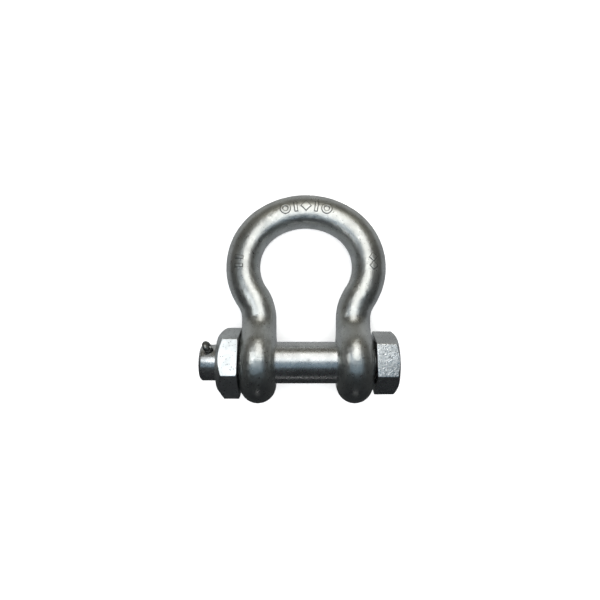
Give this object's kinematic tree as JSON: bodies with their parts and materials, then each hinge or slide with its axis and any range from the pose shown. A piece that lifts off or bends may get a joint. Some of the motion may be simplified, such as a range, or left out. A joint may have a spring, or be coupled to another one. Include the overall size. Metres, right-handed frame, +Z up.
{
  "type": "bow shackle",
  "caption": "Forged bow shackle with a hexagon-headed safety bolt, a hexagon nut and a split pin.",
  "frame": {"origin": "on the bolt's axis, midway between the ears", "axes": "+X along the bolt towards its head, +Y from the bolt towards the crown, +Z up from the surface that the shackle lies on"},
  "size_m": [0.103, 0.1131, 0.0426],
  "materials": {
    "bow_steel": "zinc-plated forging, satin",
    "bolt_steel": "zinc-plated, turned shank and forged head",
    "nut_steel": "zinc-plated, satin",
    "split_pin_steel": "dark, dull steel wire"
  },
  "bodies": {
    "bow": {"bow": "bow_steel"},
    "bolt": {"bolt": "bolt_steel"},
    "nut": {"nut": "nut_steel"},
    "split_pin": {"split_pin": "split_pin_steel"}
  },
  "joints": [
    {"name": "bolt_turn", "type": "hinge", "parent": "bow", "child": "bolt", "pos_m": [0, 0, 0], "axis": [1, 0, 0], "range_deg": [0, 345]},
    {"name": "nut_travel", "type": "slide", "parent": "bow", "child": "nut", "axis": [-1, 0, 0], "range_m": [0, 0.0024]},
    {"name": "split_pin_pull", "type": "slide", "parent": "bolt", "child": "split_pin", "axis": [0, 0.766, 0.6428], "range_m": [0, 0.026]}
  ],
  "couplings": [
    {"joint": "nut_travel", "follows": "bolt_turn", "m_per_rad": 0.00039789}
  ]
}
